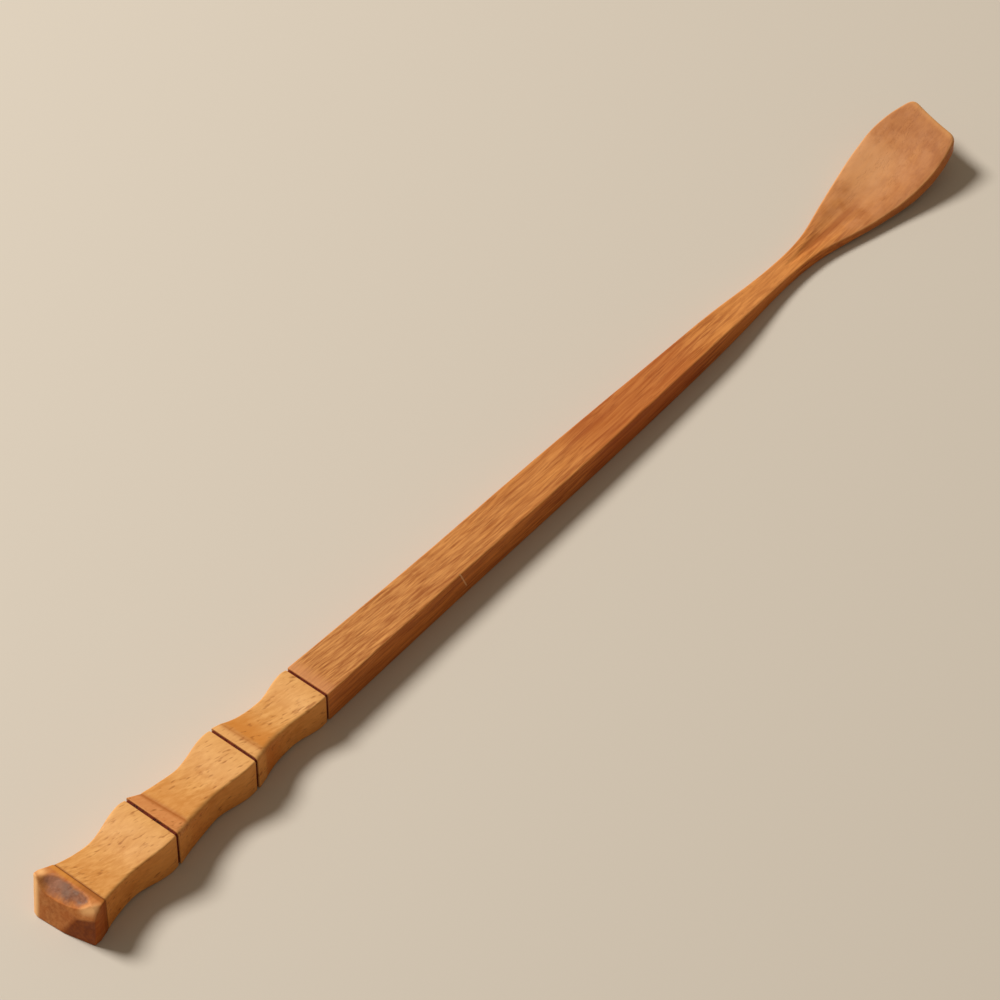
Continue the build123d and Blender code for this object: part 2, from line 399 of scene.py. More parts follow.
def new_group(name, kind, inputs, outputs):
    """An empty node tree with named inputs and outputs: the tree, what comes in, what goes out."""
    tree = bpy.data.node_groups.new(name, kind)
    for label, (socket_kind, value) in inputs.items():
        socket = tree.interface.new_socket(name=label, in_out="INPUT", socket_type=socket_kind)
        if value is not None:
            socket.default_value = value
    for label, socket_kind in outputs.items():
        tree.interface.new_socket(name=label, in_out="OUTPUT", socket_type=socket_kind)
    given = {socket.name: Amount(tree, socket) for socket in tree.nodes.new("NodeGroupInput").outputs}
    return tree, given, tree.nodes.new("NodeGroupOutput").inputs


number = "NodeSocketFloat"
grain_sizes = {
    "Slant": 0.0,
    "Streak Length": 9.0,
    "Streak Width": 0.5,
    "Wander": 0.4,
    "Pore Length": 1.6,
    "Pore Width": 0.16,
    "Pore Share": 0.1,
    "Pore Softness": 0.07,
}


def make_grain_group():
    """Long streaks, broad bands, short open pores and a soft mottle, all running along the wood."""
    inputs = {"Place": ("NodeSocketVector", None)}
    inputs.update({name: (number, size) for name, size in grain_sizes.items()})
    outputs = {name: number for name in ("Streaks", "Bands", "Pores", "Mottle", "Relief")}
    tree, given, out = new_group("wood_grain", "ShaderNodeTree", inputs, outputs)
    in_mm = made(tree, "ShaderNodeVectorMath", {0: given["Place"], "Scale": 1 / mm}, operation="SCALE")
    turned = {"Vector": in_mm, "Angle": given["Slant"]}
    x, y, z = parts_of(made(tree, "ShaderNodeVectorRotate", turned, rotation_type="Z_AXIS"))

    def stretched(length, width, offset, y=y, z=z):
        """The place, drawn out so that noise on it runs along the wood."""
        sockets = {0: x / length + offset, 1: y / width, 2: z / width}
        return made(tree, "ShaderNodeCombineXYZ", sockets)

    sway = cloud_on(stretched(14.0, 5.0, 3.0), scale=1.0, detail=1.0, output="Color")
    sway = added(tree, "ShaderNodeSeparateColor", {0: sway}).outputs
    swayed = [way + (Amount(tree, sway[k]) - 0.5) * given["Wander"] for k, way in enumerate((y, z))]

    def streaky(length, width, offset, detail, roughness):
        return cloud_on(stretched(length, width, offset, *swayed), 1.0, detail, roughness)

    length, width = given["Streak Length"], given["Streak Width"]
    fine = streaky(length, width, offset=0.0, detail=4.0, roughness=0.62)
    broad = streaky(length * 3.0, width * 3.2, offset=11.0, detail=2.0, roughness=0.5)
    length, width = given["Pore Length"], given["Pore Width"]
    pore = streaky(length, width, offset=5.0, detail=1.0, roughness=0.4)
    gate = streaky(6.0, 1.6, offset=8.0, detail=2.0, roughness=0.5)
    level = 0.74 - given["Pore Share"] - (gate - 0.5) * 0.6
    pores = ranged(pore - level, 0.0, given["Pore Softness"])
    mottle = cloud_on(stretched(3.2, 1.9, 2.0), scale=1.0, detail=3.0, roughness=0.55)
    fed(out["Streaks"], ranged(fine, 0.3, 0.7))
    fed(out["Bands"], ranged(broad, 0.3, 0.7))
    fed(out["Pores"], pores)
    fed(out["Mottle"], ranged(mottle, 0.3, 0.7))
    fed(out["Relief"], fine * 0.55 - pores * 0.4)
    return tree


def make_wear_group():
    """Worn edges, and on the stem a painted highlight: the piece's own edge value, broken up a little."""
    inputs = {"Place": ("NodeSocketVector", None), "Edge": (number, 0.0), "Patchiness": (number, 0.5)}
    tree, given, out = new_group("edge_wear", "ShaderNodeTree", inputs, {"Wear": number})
    patch = ranged(cloud_on(given["Place"], scale=420.0, detail=3.0), 0.35, 0.65)
    fed(out["Wear"], (1.0 - (1.0 - patch) * given["Patchiness"]) * given["Edge"])
    return tree


def make_side_shade_group():
    """Painted shade on the upright sides: their colour is deepened below the top's."""
    inputs = {"Facing": ("NodeSocketVector", None), "Wood": ("NodeSocketColor", None)}
    inputs.update({"Tone": ("NodeSocketColor", colour(255, 222, 170)), "Share": (number, 0.8)})
    tree, given, out = new_group("painted_side_shade", "ShaderNodeTree", inputs, {"Colour": "NodeSocketColor"})
    upright = ranged(abs(parts_of(given["Facing"])[1]), 0.55, 0.9)
    fed(out["Colour"], blended(upright * given["Share"], given["Wood"], given["Tone"], "MULTIPLY"))
    return tree


grain_group = make_grain_group()
wear_group = make_wear_group()
side_shade_group = make_side_shade_group()


def side_shaded(wood, share):
    """The wood's colour with painted shade deepening its upright sides."""
    facing = made(wood.tree, "ShaderNodeTexCoord", output="Normal")
    sockets = {"Facing": facing, "Wood": wood, "Share": share}
    return made(wood.tree, "ShaderNodeGroup", sockets, "Colour", node_tree=side_shade_group)


def grained(place, grain):
    """What the grain group makes of a place, with one wood's own values."""
    node = added(place.tree, "ShaderNodeGroup", {"Place": place, **grain}, node_tree=grain_group)
    return {socket.name: Amount(place.tree, socket) for socket in node.outputs}


def marked(tree, name):
    """A value that the piece carries at its points."""
    return made(tree, "ShaderNodeAttribute", None, "Fac", attribute_name=name)


def worn(place, patchiness):
    """Where the piece's edges are worn, and on the stem where they take a painted highlight."""
    sockets = {"Place": place, "Edge": marked(place.tree, "edge"), "Patchiness": patchiness}
    return made(place.tree, "ShaderNodeGroup", sockets, "Wear", node_tree=wear_group)


def new_wood(name, grain, gloss):
    """An empty wood material: itself, its shader's inputs, the place on it and its grain."""
    material = bpy.data.materials.new(name)
    material.use_nodes = True
    tree = material.node_tree
    tree.nodes.clear()
    shader = tree.nodes.new("ShaderNodeBsdfPrincipled")
    shader.inputs["Specular IOR Level"].default_value = gloss
    added(tree, "ShaderNodeOutputMaterial", {0: Amount(tree, shader.outputs[0])})
    place = made(tree, "ShaderNodeTexCoord", output="Object")
    return material, shader.inputs, place, grained(place, grain)


def finished(shader, wood, dullness, height, depth):
    """Feeds a wood's colour and dullness to its shader, and a height in mm that stands out."""
    fed(shader["Base Color"], wood)
    fed(shader["Roughness"], dullness)
    bump = {"Height": height, "Strength": 1.0, "Distance": depth * mm}
    fed(shader["Normal"], made(wood.tree, "ShaderNodeBump", bump))


def make_cap_wood():
    material, shader, place, figure = new_wood("cap_wood", cap_grain, gloss=0.15)
    names = ("end_grain", "shade", "painted_highlight", "seam")
    end_grain, shade, painted_highlight, seam = (marked(place.tree, name) for name in names)
    y = parts_of(place)[1]
    wood = blended(figure["Streaks"], *cap_streaks)
    wood = layered(wood, cap_tints, {"mottle": figure["Mottle"], "pores": figure["Pores"]})
    # Painted shade on the near flat
    wood = blended(shade * painted_shade_share, wood, blended(figure["Streaks"], *painted_shade_streaks))
    # Painted highlight on the far corner and the hollow's rim
    wood = layered(wood, cap_tints, {"painted_highlight": painted_highlight})

    speck = ranged(cloud_on(place, scale=1300.0, detail=4.0, roughness=0.6), 0.3, 0.7)
    cloud = cloud_on(place, scale=620.0, detail=2.0)
    masks = {"pale clouds": ranged(cloud, 0.45, 0.62), "dark clouds": ranged(cloud, 0.4, 0.3)}
    # Painted highlight on the far part of the end grain
    masks["far side"] = ranged(y, 0.5 * mm, 3.2 * mm)
    wood = blended(end_grain, wood, layered(blended(speck, *end_grain_specks), end_grain_and_highlight_tints, masks))

    strip = blended(ranged(y, 2.0 * mm, -2.0 * mm), *strip_colours)
    wood = blended(ranged(seam, 0.1, 0.5) * strip_share, wood, strip)
    # Painted shade on the near side, and the dark seam by the joint
    masks = {"near side": ranged(y, -4.2 * mm, -4.6 * mm), "seam": ranged(seam, 0.72, 1.0)}
    wood = layered(wood, seam_and_shade_tints, masks)
    dullness = 0.5 + figure["Mottle"] * 0.12 + end_grain * 0.06
    height = figure["Relief"] + end_grain * speck * 0.8
    # Painted shade deepens the upright sides
    finished(shader, side_shaded(wood, share=0.8), dullness, height, depth=0.03)
    return material


cap = bored(make_cap(), cap_end - cap_bore_depth, cap_end + 1)
softly_shaded(cap, cap_crease_angle)
cap.data.materials.clear()
cap.data.materials.append(make_cap_wood())
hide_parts("butt_cap")
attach(cap, "root")


# Handle segments
# Three square blocks of one light wood, each pared to a waist between its two ends. The middle and
# the upper one begin with a bevelled band and a crease. They are drilled through and threaded on the
# dowel, glued end to end with a dark slip between each two.

segment_nodes = ("lower_segment", "middle_segment", "upper_segment")
# Sizes in mm and shares, for the lower, the middle and the upper segment
segment_sizes = {
    "Start": (4.2, 17.3, 32.4),
    "Length": (12.7, 14.7, 13.4),
    "Start Width": (8.6, 8.9, 7.94),
    "Start Height": (6.05, 6.24, 5.84),
    "End Width": (9.0, 8.06, 7.1),
    "End Height": (6.3, 5.9, 5.26),
    "Side Waist": (0.76, 0.68, 0.74),
    "Top Waist": (0.7, 0.52, 0.66),
    "Under Waist": (0.42, 0.3, 0.24),
    "Waist Place": (0.43, 0.45, 0.5),
    "Waist Entry": (1.6, 1.25, 2.5),
    "Waist End": (0.9, 0.9, 0.93),
    "Band Length": (0.01, 2.15, 1.45),
    "Band Skew": (0, 0.25, 0.1),
    "Band Inset": (0, 0.52, 0.3),
    "Band Drop": (0, 0.62, 0.08),
    "Crease Cut": (0, 0.05, 0.03),
    "Arris": (0.28, 0.28, 0.28),
    "Near Softness": (0.25, 0.6, 0.6),
    "End Rounding": (0.1, 0.1, 0.1),
    "Shoulder": (0.16, 0.13, 0.1),
    "Carving": (0.05, 0.05, 0.05),
    "Carving Seed": (3, 8, 21),
    "Seam": (1, 0, 0),
    "Valley Shade": (0.4, 0.7, 1.6),
}
softness_shape = ((0, 0.75), (0.12, 1), (0.42, 0.6), (0.72, 0.1), (1, 0))
rows_along = 180
columns_round = 96
segment_crease_angle = 40
shoulder_length = 1.3
# Hand paring: its waves to a mm along a face and to a turn round the block, and each seed's shift
paring_along = 0.45
paring_round = 9.0
paring_seed_step = 7.3
# What share of each mark is lost with every mm
falloffs = {"paring": 0.8, "crease cut": 2.0, "crease": 1.4, "end edge": 4.0, "seam": 3.5, "band": 5.0}
# Where the valley's painted shade and the end's painted sheen set in and fade, as shares of the way to the
# end
valley_shade_rise = (0.0, 0.06)
valley_shade_fall = (0.1, 0.45)
painted_sheen_rise = (0.4, 0.9)
# How fast the band reddens with its drop, and how fast the crease's painted shade darkens with its cut
reddening = 1.6
darkening = 20.0

handle_streaks = ((206, 140, 70), (236, 176, 104))
handle_tints = {
    "bands": (0.35, (236, 178, 108)),
    "mottle": (0.35, (206, 138, 68)),
    # Painted shade in the valley past the crease
    "valley_shade": (0.5, (208, 130, 50)),
    "band": (0.7, (214, 136, 80)),
    # Painted sheen towards the end, and on a flat band
    "painted_sheen": (0.4, (236, 182, 116)),
    "pores": (0.7, (160, 94, 38)),
    # Painted shade along the crease
    "crease": (0.9, (172, 94, 32)),
    "wear": (0.25, (236, 172, 98)),
    "seam": (0.75, (138, 68, 14)),
}
handle_grain = {"Slant": 0.28, "Streak Length": 1.7, "Streak Width": 0.5, "Wander": 0.8, "Pore Length": 1.1}
handle_grain.update({"Pore Width": 0.34, "Pore Share": 0.16, "Pore Softness": 0.26})


def make_block_tree():
    """Square block between two ends, with a band, a waist and a bore, from named sizes in mm."""
    inputs = {"Geometry": ("NodeSocketGeometry", None)}
    inputs.update({name: (number, 0.0) for name in segment_sizes})
    inputs["Wood"] = ("NodeSocketMaterial", None)
    outputs = {"Geometry": "NodeSocketGeometry"}
    tree, given, out = new_group("waisted_block", "GeometryNodeTree", inputs, outputs)

    def held(value):
        """Keeps a value between 0 and 1."""
        return made(tree, "ShaderNodeClamp", {"Value": value})

    def shaped(value, points):
        curve = added(tree, "ShaderNodeFloatCurve", {"Value": value})
        knots = curve.mapping.curves[0].points
        while len(knots) < len(points):
            knots.new(0.5, 0.5)
        for knot, (x, y) in zip(knots, points):
            knot.location = (x, y)
        curve.mapping.update()
        return Amount(tree, curve.outputs[0])

    def mixed(share, first, second):
        return first + share * (second - first)

    last_row = rows_along + 2
    grid = made(tree, "GeometryNodeMeshGrid", {"Vertices X": last_row + 1, "Vertices Y": columns_round + 1})
    spot = parts_of(made(tree, "GeometryNodeInputPosition"))
    row = ((spot[0] + 0.5) * float(last_row)).by("ROUND")
    way_round = (spot[1] + 0.5).by("FRACT")

    # Rows run along the outside, back through the bore, and meet the first one again
    back = row > rows_along + 0.5
    in_bore = (row > rows_along - 0.5) * (row < rows_along + 1.5)
    share = held(row / (rows_along - 1.0))
    eased = 0.5 * (1.0 - (share * math.pi).by("COSINE"))
    along = eased * given["Length"] * (1.0 - back)

    # Round the section: four corners, each between the middles of two faces
    quarters = way_round * 4.0
    quarter = quarters.by("FLOOR")
    turn = quarters.by("FRACT")
    odd = quarter.by("MODULO", 2.0)
    turn = turn * (1.0 - odd) + (1.0 - turn) * odd
    near = (quarter > 0.5) * (quarter < 2.5)
    upper = quarter < 1.5
    side_sign = 1.0 - near * 2.0
    top_sign = upper * 2.0 - 1.0
    up_side = held(turn * 3.0)
    bend = held(turn * 3.0 - 1.0)
    over_top = held(turn * 3.0 - 2.0)

    # The band, wider towards the near side, then the waist
    crease_at = given["Band Length"] - given["Band Skew"] * (side_sign * (1.0 - over_top))
    on_band = held(along / crease_at.by("MAXIMUM", 0.001))
    past = held((along - crease_at) / (given["Length"] - crease_at))
    entry = held(past / given["Waist Place"])
    entry = 1.0 - (1.0 - entry) ** given["Waist Entry"]
    hollow = entry * (1.0 - ranged(past, given["Waist Place"], given["Waist End"]))
    off_crease = abs(along - crease_at)
    crease_cut = held(1.0 - off_crease * falloffs["crease cut"]) ** 2.0 * given["Crease Cut"]
    width = given["Start Width"] - 2.0 * (given["Band Inset"] * on_band)
    half_width = mixed(past, width, given["End Width"]) * 0.5 - given["Side Waist"] * hollow
    top = given["Start Height"] - given["Band Drop"] * on_band
    top = mixed(past, top, given["End Height"]) - given["Top Waist"] * hollow
    bottom = given["Under Waist"] * hollow

    # Hand paring leaves the faces a little uneven, and the ends are eased
    from_end = along.by("MINIMUM", given["Length"] - along)
    waves = {0: along * paring_along, 1: way_round * paring_round}
    waves[2] = given["Carving Seed"] * paring_seed_step
    carved = cloud_on(made(tree, "ShaderNodeCombineXYZ", waves), scale=1.0, detail=1.0)
    carved = carved * given["Carving"] * held(from_end * falloffs["paring"])
    eased_edge = (given["End Rounding"] - from_end).by("MAXIMUM", 0.0)
    squared = given["End Rounding"] ** 2.0 - eased_edge ** 2.0
    inset = given["End Rounding"] - squared.by("MAXIMUM", 0.0).by("SQRT")
    shoulder = held(1.0 - (given["Length"] - along) / shoulder_length) ** 2.0
    carved = carved + shoulder * given["Shoulder"]
    half_width = half_width - inset - carved
    top = top - inset - carved - crease_cut
    bottom = bottom + inset
    half_height = (top - bottom) * 0.5

    # The near upper edge is softer than the others
    radius = given["Arris"] + near * upper * (given["Near Softness"] * shaped(past, softness_shape))
    angle = bend * (math.pi / 2)
    y = ((half_width - radius) * (1.0 - over_top) + radius * angle.by("COSINE")) * side_sign
    z = ((half_height - radius) * up_side + radius * angle.by("SINE")) * top_sign
    z = z + (top + bottom) * 0.5
    whole_turn = way_round * (2 * math.pi)
    y = mixed(in_bore, y, whole_turn.by("COSINE") * bore_radius)
    z = mixed(in_bore, z, whole_turn.by("SINE") * bore_radius + dowel_height)
    point = made(tree, "ShaderNodeCombineXYZ", {0: along + given["Start"] + butt_x, 1: y, 2: z})
    point = made(tree, "ShaderNodeVectorMath", {0: point, "Scale": mm}, operation="SCALE")

    # Values that the wood's material reads, with painted shade in the valley and crease and painted sheen by
    # the end
    outside = 1.0 - in_bore
    end_edge = held(1.0 - from_end * falloffs["end edge"]) * outside
    edge = ((bend * math.pi).by("SINE") * outside).by("MAXIMUM", end_edge)
    on_top = bend * upper
    before_crease = held((crease_at - along) * falloffs["band"])
    dropped = held(given["Band Drop"] * reddening)
    crease = held(1.0 - off_crease * falloffs["crease"]) ** 1.5
    flat_band = before_crease * (1.0 - dropped)
    marks = {
        "edge": edge,
        "valley_shade": ranged(past, *valley_shade_rise) * (1.0 - ranged(past, *valley_shade_fall)) * given["Valley Shade"],
        "seam": held(1.0 - along * falloffs["seam"]) * given["Seam"],
        "crease": crease * on_top * held(given["Crease Cut"] * darkening),
        "band": before_crease * dropped * on_top,
        "painted_sheen": ranged(past, *painted_sheen_rise).by("MAXIMUM", flat_band),
    }
    shape = grid
    for label, value in marks.items():
        sockets = {"Geometry": shape, "Name": label, "Value": value}
        shape = made(tree, "GeometryNodeStoreNamedAttribute", sockets)
    shape = made(tree, "GeometryNodeSetPosition", {"Geometry": shape, "Position": point})
    shape = made(tree, "GeometryNodeMergeByDistance", {"Geometry": shape, "Distance": 0.001 * mm})
    shape = made(tree, "GeometryNodeFlipFaces", {"Mesh": shape})
    shape = made(tree, "GeometryNodeRealizeInstances", {"Geometry": shape})
    fed(out[0], made(tree, "GeometryNodeSetMaterial", {"Geometry": shape, "Material": given["Wood"]}))
    return tree


def make_handle_wood():
    material, shader, place, figure = new_wood("handle_wood", handle_grain, gloss=0.2)
    wear = worn(place, patchiness=0.6)
    found = {"bands": figure["Bands"], "mottle": figure["Mottle"], "pores": figure["Pores"], "wear": wear}
    masks = {name: found.get(name) or marked(place.tree, name) for name in handle_tints}
    wood = layered(blended(figure["Streaks"], *handle_streaks), handle_tints, masks)
    dullness = 0.46 + figure["Mottle"] * 0.14 - wear * 0.08
    # Painted shade deepens the upright sides
    finished(shader, side_shaded(wood, share=0.8), dullness, figure["Relief"], depth=0.035)
    return material


block_tree = make_block_tree()
handle_wood = make_handle_wood()
sockets = {item.name: item.identifier for item in block_tree.interface.items_tree if item.in_out == "INPUT"}
for column, node_name in enumerate(segment_nodes):
    segment = new_piece(node_name + "_wood", [(0, 0, 0)], [])
    maker = segment.modifiers.new("shape", "NODES")
    maker.node_group = block_tree
    for size_name, sizes in segment_sizes.items():
        maker[sockets[size_name]] = float(sizes[column])
    maker[sockets["Wood"]] = handle_wood
    settled(segment)
    softly_shaded(segment, segment_crease_angle)
    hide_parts(node_name)
    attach(segment, "root")


# Spacers
# Thin slips of a very dark wood between the segments, and between the last one and the stem. They
# stand back from the faces, so each shows as a dark groove. They are glued on both sides.

spacer_streaks = ((84, 24, 6), (112, 40, 12))
spacer_tints = {"pores": (1.0, (48, 14, 4))}
spacer_grain = {"Streak Length": 0.6, "Streak Width": 0.3, "Pore Length": 0.4, "Pore Share": 0.12}


def plain_wood(name, grain, gloss, streaks, tints, dullness):
    """Wood that only shows its streaks and pores, from its least to its most dullness."""
    material, shader, _, figure = new_wood(name, grain, gloss)
    wood = layered(blended(figure["Streaks"], *streaks), tints, {"pores": figure["Pores"]})
    dullness = ranged(figure["Mottle"], 0.0, 1.0, *dullness)
    finished(shader, wood, dullness, figure["Relief"], depth=0.03)
    return material


def dressed(node_name, material):
    """Gives a piece that keeps its first shape its finish."""
    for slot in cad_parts[node_name].material_slots:
        slot.material = material


spacer_wood = plain_wood("spacer_wood", spacer_grain, 0.15, spacer_streaks, spacer_tints, (0.6, 0.8))
for node_name in ("lower_spacer", "middle_spacer", "upper_spacer"):
    dressed(node_name, spacer_wood)


# Core dowel
# A round rod of split bamboo through the handle, from the cap into the stem. It keeps the pieces in
# line while the glue sets, and can't be seen once they are together.

dowel_streaks = ((196, 164, 104), (226, 200, 140))
dowel_tints = {"pores": (0.6, (150, 108, 56))}
dowel_grain = {"Streak Length": 16.0, "Streak Width": 0.22, "Wander": 0.1, "Pore Length": 5.0}
dowel_grain["Pore Share"] = 0.14

dressed("core_dowel", plain_wood("dowel_wood", dowel_grain, 0.5, dowel_streaks, dowel_tints, (0.42, 0.58)))


# Stem and blade
# One piece of redder, straight-grained wood: a square stem that tapers to a thin neck, then opens
# into a flat blade with a shallow dish, steamed or pared to a curl and cut off at a slant. The foot
# of the stem is bored for the dowel and glued to the last spacer.

stem_foot = 46.2
stem_bore_depth = 12.0
foot_rounding = 0.14
# Outline from above, as stations and how far the wood reaches to each side
far_stem = ((46.2, 3.5), (58, 3.2), (71.25, 2.9), (85, 2.8), (98.3, 2.64), (110, 2.36), (122.35, 2.0))
far_stem += ((134, 1.8), (146.4, 1.66))
near_stem = ((46.2, 3.5), (58, 3.34), (71.25, 3.2), (85, 3.17), (98.3, 3.13), (110, 2.96), (122.35, 2.69))
near_stem += ((134, 2.2), (146.4, 1.62))
blade_side = ((152, 2.12), (157.2, 3.42), (161, 4.36), (164.7, 5.13), (168.4, 5.72), (172, 5.96))
far_side = far_stem + blade_side
near_side = near_stem + blade_side
widest = 172
far_corner = (180.7, 3.9)
near_corner = (178.65, -4.95)
far_corner_run = 1.2
near_corner_run = 1.3
tip_hollow = 0.2
tip_slant = (far_corner[0] - near_corner[0]) / (far_corner[1] - near_corner[1])
# Heights of the top and of the underside
top_line = ((46.2, 5.2), (60, 4.88), (75, 4.56), (90, 4.24), (105, 3.93), (120, 3.6), (129, 3.33))
top_line += ((134, 2.9), (139, 2.33), (143, 2.0), (147, 1.83), (152, 1.72), (157.2, 1.68), (161, 1.83))
top_line += ((164.7, 2.18), (168, 2.78), (171, 3.55), (174.5, 4.56), (178, 5.5), (180.9, 6.22))
under_line = ((150.4, 0), (153, 0.1), (157.2, 0.38), (161, 0.48), (164.7, 0.6), (168, 0.84), (171, 1.36))
under_line += ((174.5, 2.2), (178, 3.14), (180.9, 4.0))
# The channel that opens into the dish: stations, half width and depth
dish_half_width = ((145.5, 0.35), (150, 0.8), (156, 2.0), (162, 3.6), (168, 4.7), (173, 4.9), (178, 3.6))
dish_depths = ((145.5, 0), (147.5, 0.16), (151, 0.3), (158, 0.38), (165, 0.42), (171, 0.36), (176, 0.14))
dish_depths += ((178, 0),)
dish_roundness = 1.4
# Hand paring on top: its depth, and the stretches over which it sets in and stops
paring_on_top = 0.035
paring_starts = 4
paring_stops = (178, 8)
# Rounding of the edges, which widens on top towards the tip
side_arris = 0.3
tip_arris = 0.56
tip_arris_start = 173.5
tip_arris_stretch = 5
# Nick in the near side: station and height of its upper end, and its lean
nick_top = (72.5, 4.4)
nick_lean = 0.378
rows_of_stem = 400
rows_by_tip = 28
columns_of_blade = 30
arris_steps = 6
edge_steps = 5
foot_steps = 3
stem_crease_angle = 40

stem_streaks = ((154, 80, 32), (224, 150, 80))
stem_tints = {
    "bands": (0.35, (208, 130, 56)),
    # Edge wear, also a painted highlight along the stem's arrises
    "pores": (0.4, (140, 66, 20)),
    "wear": (0.4, (230, 154, 84)),
    "redder": (0.5, (172, 86, 34)),
    "paler": (0.45, (224, 150, 82)),
    # Painted highlight along the tip and on the blade's rim
    "tip": (0.5, (236, 174, 108)),
    "rim": (0.5, (250, 188, 122)),
    # Painted shade in the channel
    "channel": (0.6, (150, 76, 30)),
    "nick": (0.55, (255, 205, 150)),
}
stem_grain = {"Slant": -0.03, "Streak Length": 9.0, "Streak Width": 0.42, "Wander": 0.6, "Pore Length": 3.0}
stem_grain.update({"Pore Width": 0.13, "Pore Share": 0.09})
# Short flecks by the handle, with a plain strip at the foot
fleck_streaks = ((156, 88, 38), (222, 158, 90))
fleck_tints = {"pores": (0.45, (150, 80, 30)), "foot": (0.7, (214, 148, 98))}
fleck_grain = {"Slant": 0.06, "Streak Length": 3.4, "Streak Width": 0.27, "Wander": 0.35, "Pore Length": 1.8}
fleck_grain.update({"Pore Width": 0.18, "Pore Share": 0.08, "Pore Softness": 0.2})
# The duller, mottled wood of the blade, with a painted sheen where it curls
blade_share = 0.85
blade_mottle = ((170, 106, 58), (202, 138, 82))
blade_tints = {
    "blotches": (0.5, (212, 152, 104)),
    "curl_sheen": (0.6, (226, 170, 118)),
    "duller": (0.5, (172, 112, 70)),
    "streaks": (0.2, (188, 120, 68)),
}
# Stations between which each of them sets in or fades out
foot_fades = (48.6, 46.8)
flecks_fade = (116, 50)
redder_starts, redder_stops = (94, 106), (128, 120)
paler_starts, paler_stops = (126, 136), (150, 144)
blade_starts = (148, 164)
curl_starts, curl_stops = (161, 167), (174, 170)
dull_tip_starts = (172, 177)
channel_starts, channel_stops = (148, 152), (166, 157)
tip_highlight_starts = (178.2, 179.4)


def curve_through(knots, stations):
    """Smooth curve through its knots, read at some stations; level beyond the two ends."""
    at, values = (np.array(v, float) for v in zip(*knots))
    gaps = np.diff(at)
    slopes = np.diff(values) / gaps
    size = len(at)
    table = np.zeros((size, size))
    right = np.zeros(size)
    table[0, 0] = table[-1, -1] = 1
    for k in range(1, size - 1):
        table[k, k - 1:k + 2] = (gaps[k - 1], 2 * (gaps[k - 1] + gaps[k]), gaps[k])
        right[k] = 6 * (slopes[k] - slopes[k - 1])
    bends = np.linalg.solve(table, right)
    x = np.clip(stations, at[0], at[-1])
    k = np.clip(np.searchsorted(at, x, side="right") - 1, 0, size - 2)
    low, high, gap = x - at[k], at[k + 1] - x, gaps[k]
    result = (bends[k] * high ** 3 + bends[k + 1] * low ** 3) / (6 * gap)
    result += (values[k] / gap - bends[k] * gap / 6) * high
    return result + (values[k + 1] / gap - bends[k + 1] * gap / 6) * low


def curve_to_corner(start, corner, count=60):
    """Arc that leaves the widest place level and ends at a corner of the tip."""
    run, drop = corner[0] - start[0], abs(start[1]) - abs(corner[1])
    radius = (run ** 2 + drop ** 2) / (2 * drop)
    x = np.linspace(0, run, count)
    y = abs(start[1]) - (radius - np.sqrt(radius ** 2 - x ** 2))
    return np.stack([start[0] + x, y * (1 if corner[1] > 0 else -1)], 1)


def run_of(path):
    """How far along a path each of its points lies."""
    return np.append(0, np.cumsum(np.linalg.norm(np.diff(path, axis=0), axis=1)))


def places_on(path, at):
    """Points at some distances along a path."""
    return np.stack([np.interp(at, run_of(path), path[:, c]) for c in (0, 1)], 1)


def cut_back(path, length):
    """The path without the last stretch of it."""
    run = run_of(path)
    left = run[-1] - length
    return np.vstack([path[run < left], places_on(path, [left])])


def round_corner(first, corner, last, count=24):
    t = np.linspace(0, 1, count)[:, None]
    return (1 - t) ** 2 * np.array(first) + 2 * t * (1 - t) * np.array(corner) + t ** 2 * np.array(last)


def evenly(path, count):
    """Points along a path, a count of them, and which way is out on its left side."""
    run = run_of(path)
    at = np.linspace(0, 1, count) * run[-1]
    step = run[-1] / len(run) / 2
    way = places_on(path, np.minimum(at + step, run[-1])) - places_on(path, np.maximum(at - step, 0))
    way /= np.linalg.norm(way, axis=1)[:, None]
    return places_on(path, at), np.stack([-way[:, 1], way[:, 0]], 1)


def blade_outline():
    """The far side, the tip and the near side, from the foot round to the foot."""
    stations = np.append(np.linspace(stem_foot + foot_rounding, widest, 500)[:-1], widest)
    far = np.stack([stations, curve_through(far_side, stations)], 1)
    near = np.stack([stations, -curve_through(near_side, stations)], 1)
    far = np.vstack([far[:-1], curve_to_corner(far[-1], far_corner)])
    near = np.vstack([near[:-1], curve_to_corner(near[-1], near_corner)])
    middle = (np.array(far_corner) + np.array(near_corner)) / 2 - (tip_hollow * 2, 0)
    tip = round_corner(far_corner, middle, near_corner, 60)
    tip = cut_back(cut_back(tip, near_corner_run)[::-1], far_corner_run)[::-1]
    far, near = cut_back(far, far_corner_run), cut_back(near, near_corner_run)
    far_turn = round_corner(far[-1], far_corner, tip[0])
    near_turn = round_corner(tip[-1], near_corner, near[-1])
    half = len(far_turn) // 2
    far = np.vstack([far[:-1], far_turn[:half + 1]])
    tip = np.vstack([far_turn[half:-1], tip, near_turn[1:half + 1]])
    near = np.vstack([near_turn[half:-1], near[::-1]])
    return far, tip, near


def top_height(stations, across):
    """Height of the pared top, less the dish, at some places."""
    half = curve_through(dish_half_width, stations)
    depth = np.maximum(curve_through(dish_depths, stations), 0)
    dish = depth * np.clip(1 - (across / half) ** 2, 0, 1) ** dish_roundness
    fade = np.clip((stations - stem_foot) / paring_starts, 0, 1)
    fade *= np.clip((paring_stops[0] - stations) / paring_stops[1], 0, 1)
    carved = smooth_noise(stations * 0.16, across * 0.35, 4)
    return curve_through(top_line, stations) - dish - paring_on_top * (1 + carved) * fade


def under_height(stations, across):
    return np.maximum(curve_through(under_line, stations), 0)


